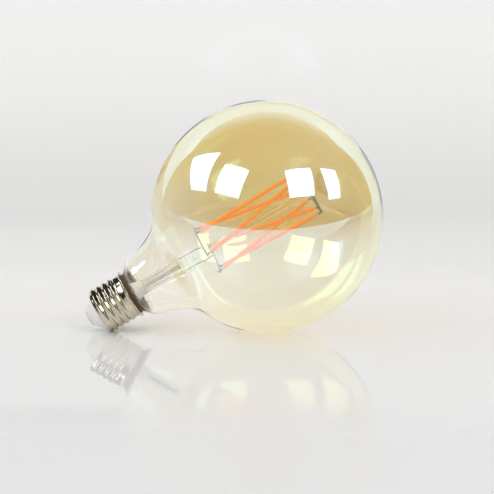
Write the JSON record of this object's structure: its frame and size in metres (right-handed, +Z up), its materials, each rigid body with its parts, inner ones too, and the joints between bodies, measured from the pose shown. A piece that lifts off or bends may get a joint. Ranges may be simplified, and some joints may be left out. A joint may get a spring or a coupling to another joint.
{
  "type": "globe filament lamp",
  "caption": "Smart LED lamp with a large gold-tinted glass globe, twisted filaments on a glass stem, and a screw cap, lying on its side.",
  "frame": {"origin": "centre of the bounding box at table level, under the lamp as it lies on its side", "axes": "+Z up from the table, +X from the cap towards the globe along the lamp's shadow, +Y away from the viewer; the lamp's own axis lies in the XZ plane and rises 30 degrees towards +X"},
  "size_m": [0.1618, 0.126, 0.1259],
  "materials": {
    "amber_glass": "clear blown glass with a thin gold film",
    "clear_glass": "clear drawn glass",
    "phosphor": "satin silicone and phosphor coating, orange",
    "nickel_wire": "dull drawn nickel-iron wire",
    "nickel_plate": "bright nickel plate on rolled brass",
    "tin": "dull tinned contact",
    "white_glass": "smooth opaque white glass",
    "cement": "rough baked basing cement",
    "circuit_board": "green solder mask",
    "black_plastic": "moulded black epoxy",
    "ferrite": "matt sintered ferrite",
    "copper": "enamelled copper wire",
    "capacitor_can": "drawn aluminium can",
    "resistor_body": "lacquered resistor body",
    "red_insulation": "red wire insulation",
    "black_insulation": "black wire insulation",
    "white_sleeve": "woven glass-fibre sleeve"
  },
  "bodies": {
    "root": {"glass_envelope": "amber_glass", "stem_flare_tube": "clear_glass", "stem_press": "clear_glass", "exhaust_tube": "clear_glass", "centre_rod": "clear_glass", "lower_crown_a": "nickel_wire", "lower_crown_b": "nickel_wire", "upper_crown": "nickel_wire", "lead_wire_a": "nickel_wire", "lead_wire_b": "nickel_wire", "lead_sleeve_a": "white_sleeve", "lead_sleeve_b": "white_sleeve", "screw_shell": "nickel_plate", "cap_insulator": "white_glass", "centre_contact": "tin", "basing_cement": "cement", "driver_board": "circuit_board", "bulk_capacitor": "capacitor_can", "inductor_core": "ferrite", "inductor_winding": "copper", "bridge_rectifier": "black_plastic", "led_driver_chip": "black_plastic", "fusible_resistor": "resistor_body", "radio_board": "circuit_board", "radio_shield": "capacitor_can", "aerial_wire": "copper", "live_wire": "red_insulation", "neutral_wire": "black_insulation", "filament_1": "phosphor", "lower_tail_1": "nickel_wire", "upper_tail_1": "nickel_wire", "filament_2": "phosphor", "lower_tail_2": "nickel_wire", "upper_tail_2": "nickel_wire", "filament_3": "phosphor", "lower_tail_3": "nickel_wire", "upper_tail_3": "nickel_wire", "filament_4": "phosphor", "lower_tail_4": "nickel_wire", "upper_tail_4": "nickel_wire", "filament_5": "phosphor", "lower_tail_5": "nickel_wire", "upper_tail_5": "nickel_wire", "filament_6": "phosphor", "lower_tail_6": "nickel_wire", "upper_tail_6": "nickel_wire"}
  },
  "joints": []
}
